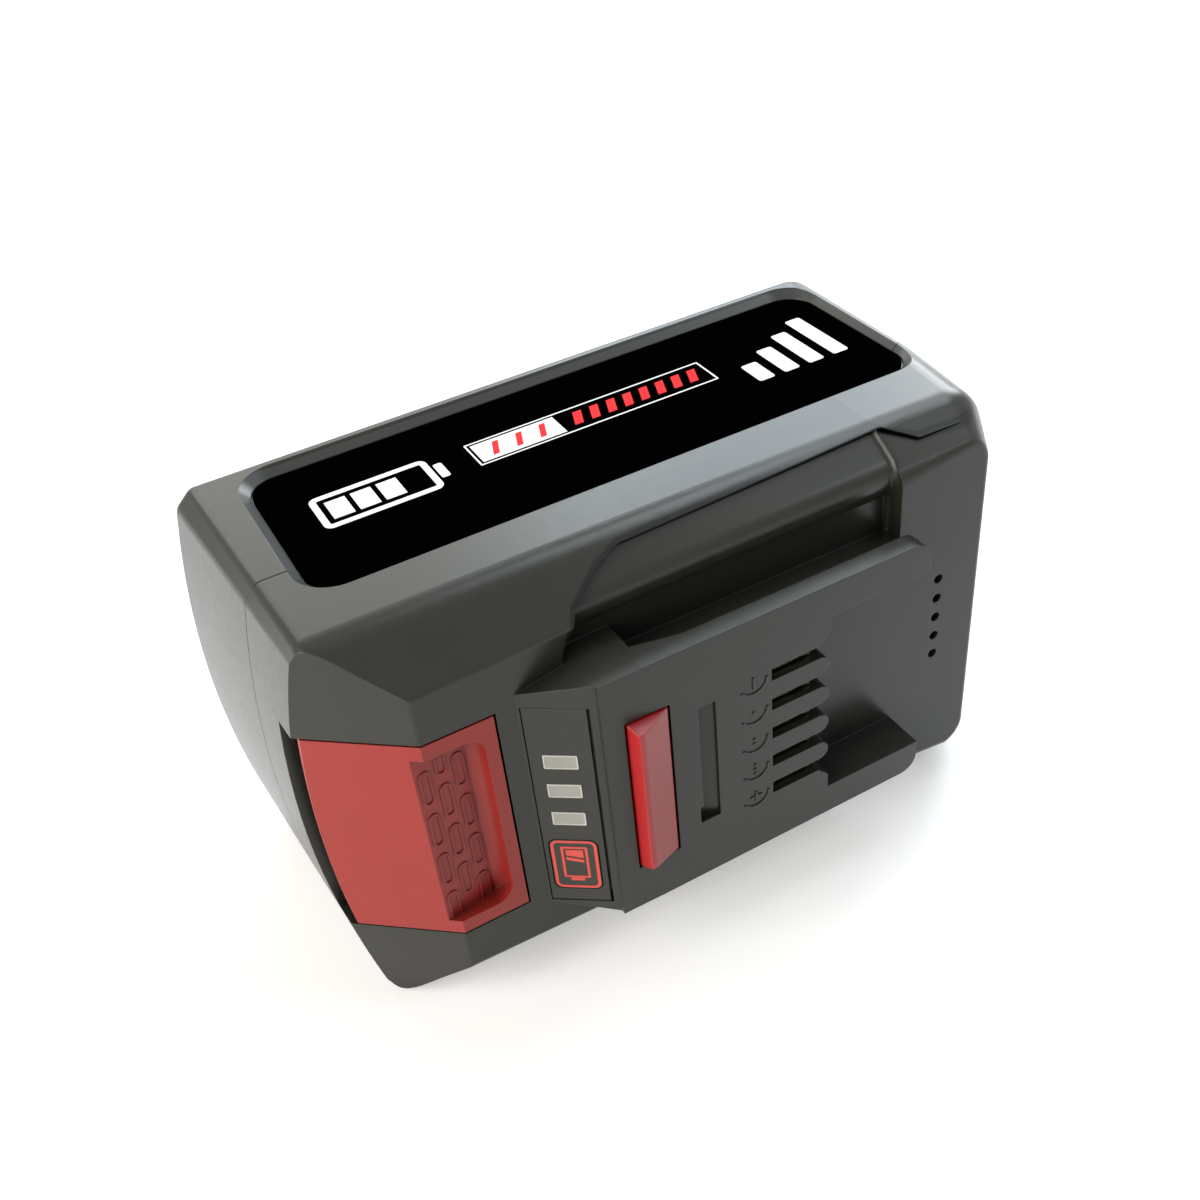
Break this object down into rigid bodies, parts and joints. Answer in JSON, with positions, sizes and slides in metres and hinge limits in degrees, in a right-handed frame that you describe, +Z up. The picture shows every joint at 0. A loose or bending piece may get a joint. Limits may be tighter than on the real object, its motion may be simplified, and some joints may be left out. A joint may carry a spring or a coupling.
{
  "type": "power tool battery pack",
  "caption": "Slide-on battery pack with side rails, slotted contacts, a sprung release button with its latch wedge, and a sloping charge gauge with a key.",
  "frame": {"origin": "middle of the pack's bounding box, on the side frame that it lies on in the picture", "axes": "+X along the length, from the button end to the rear end; +Y from the rails to the pack's base; +Z up, across the width, towards the labelled side"},
  "size_m": [0.1288, 0.0694, 0.076],
  "materials": {
    "housing_plastic": "fine matte moulded grain",
    "button_plastic": "satin moulded",
    "hook_plastic": "satin to gloss moulded",
    "inner_plastic": "moulded black",
    "spring_steel": "drawn wire",
    "panel_plastic": "smooth matte film",
    "window_plastic": "frosted light guide",
    "key_plastic": "smooth matte film with a printed pictogram",
    "board_laminate": "solder mask",
    "component": "moulded epoxy",
    "screw_steel": "black oxide",
    "ribbon": "flat flexible lead",
    "holder_plastic": "moulded black",
    "insulating_sheet": "fibre sheet",
    "cell_sleeve": null,
    "nickel": "nickel plated",
    "contact_metal": "tin plated copper alloy",
    "label_gloss": "gloss film"
  },
  "bodies": {
    "pack": {"terminal_housing": "housing_plastic", "bottom_housing": "housing_plastic", "latch_springs": "spring_steel", "gauge_panel": "panel_plastic", "gauge_windows": "window_plastic", "gauge_board": "board_laminate", "gauge_leds": "component", "gauge_screws": "screw_steel", "gauge_ribbon": "ribbon", "tact_switch": "component", "circuit_board": "board_laminate", "board_screws": "screw_steel", "power_transistors": "component", "monitor_chip": "component", "thermistor": "component", "terminal_block": "inner_plastic", "cell_holder_upper": "holder_plastic", "cell_holder_lower": "holder_plastic", "insulator_upper": "insulating_sheet", "insulator_lower": "insulating_sheet", "housing_screws": "screw_steel", "label_plate": "label_gloss", "cell_01": "cell_sleeve", "cell_02": "cell_sleeve", "cell_03": "cell_sleeve", "cell_04": "cell_sleeve", "cell_05": "cell_sleeve", "cell_06": "cell_sleeve", "cell_07": "cell_sleeve", "cell_08": "cell_sleeve", "cell_09": "cell_sleeve", "cell_10": "cell_sleeve", "weld_strip_1_1": "nickel", "weld_strip_1_2": "nickel", "weld_strip_2_3": "nickel", "weld_strip_3_4": "nickel", "weld_strip_4_5": "nickel", "weld_strip_5_5": "nickel", "contact_positive": "contact_metal", "contact_signal_1": "contact_metal", "contact_signal_2": "contact_metal", "contact_signal_3": "contact_metal", "contact_negative": "contact_metal"},
    "latch": {"release_button": "button_plastic", "latch_hook": "hook_plastic", "latch_carrier": "inner_plastic"},
    "gauge_key": {"gauge_button": "key_plastic"}
  },
  "joints": [
    {"name": "latch_slide", "type": "slide", "parent": "pack", "child": "latch", "axis": [0, 1, 0], "range_m": [0, 0.0035], "stiffness_N_per_m": 3000, "springref_m": -0.003, "deforming": ["latch_springs"]},
    {"name": "gauge_press", "type": "slide", "parent": "pack", "child": "gauge_key", "axis": [0.5836, 0.812, 0], "range_m": [0, 0.0005], "stiffness_N_per_m": 3000, "springref_m": -0.0001}
  ]
}
